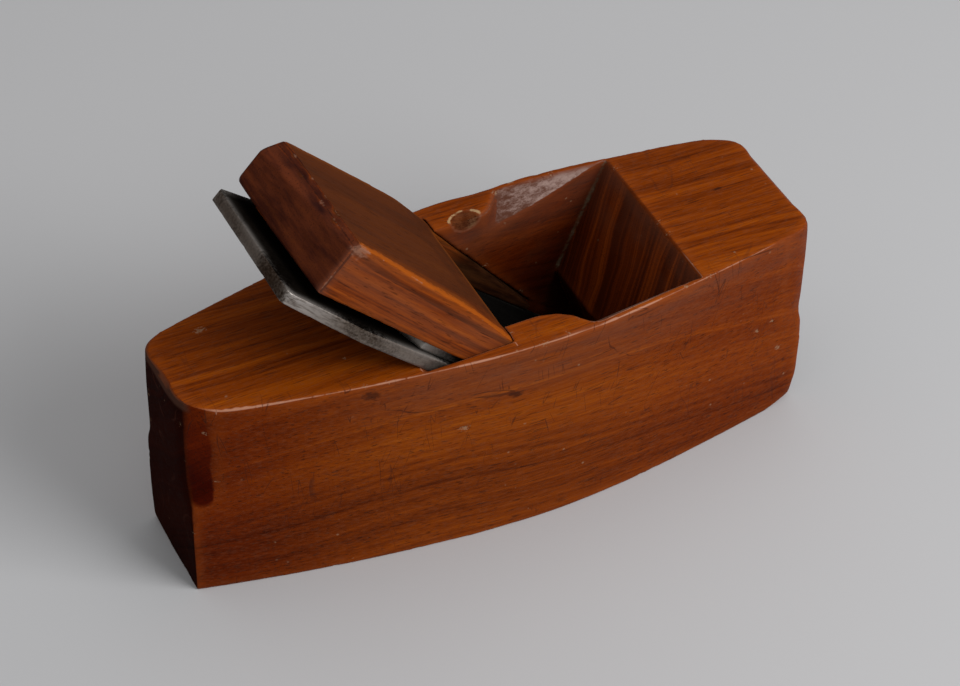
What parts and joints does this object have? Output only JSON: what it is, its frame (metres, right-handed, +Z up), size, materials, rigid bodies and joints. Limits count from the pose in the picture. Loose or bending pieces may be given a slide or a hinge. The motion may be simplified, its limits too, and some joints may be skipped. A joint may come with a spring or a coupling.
{
  "type": "coffin smoothing plane",
  "caption": "Boat-shaped wooden smoothing plane with a slotted cutting iron, a screwed-on cap iron and a forked wooden wedge.",
  "frame": {"origin": "middle of the sole, under the middle of the stock's length and width", "axes": "+X from heel to toe, +Y to the left side as the plane is pushed, +Z up out of the sole"},
  "size_m": [0.203, 0.0696, 0.1246],
  "materials": {
    "stock_wood": "old oil and wax over brown straight-grained hardwood, darker on the ends",
    "wedge_wood": "old oil and wax, rubbed smooth",
    "iron_steel": "dark aged steel with brighter worn edges",
    "cap_steel": "aged steel, brighter at the edges",
    "nut_brass": "dull aged brass",
    "screw_steel": "dark aged steel"
  },
  "bodies": {
    "stock": {"stock": "stock_wood"},
    "cutting_iron": {"cutting_iron": "iron_steel"},
    "cap_iron": {"cap_iron": "cap_steel", "cap_nut": "nut_brass"},
    "cap_screw": {"cap_screw": "screw_steel"},
    "wedge": {"wedge": "wedge_wood"}
  },
  "joints": [
    {"name": "iron_slide", "type": "slide", "parent": "stock", "child": "cutting_iron", "axis": [-0.7254, 0, 0.6884], "range_m": [-0.0005, 0.1]},
    {"name": "cap_slide", "type": "slide", "parent": "cutting_iron", "child": "cap_iron", "axis": [-0.7311, 0, 0.6823], "range_m": [-0.001, 0.01]},
    {"name": "cap_screw_turn", "type": "hinge", "parent": "cap_iron", "child": "cap_screw", "pos_m": [-0.01072, 0, 0.05898], "axis": [0.6823, 0, 0.7311], "range_deg": [0, 540]},
    {"name": "wedge_slide", "type": "slide", "parent": "cutting_iron", "child": "wedge", "axis": [-0.6721, 0, 0.7404], "range_m": [0, 0.062]}
  ]
}
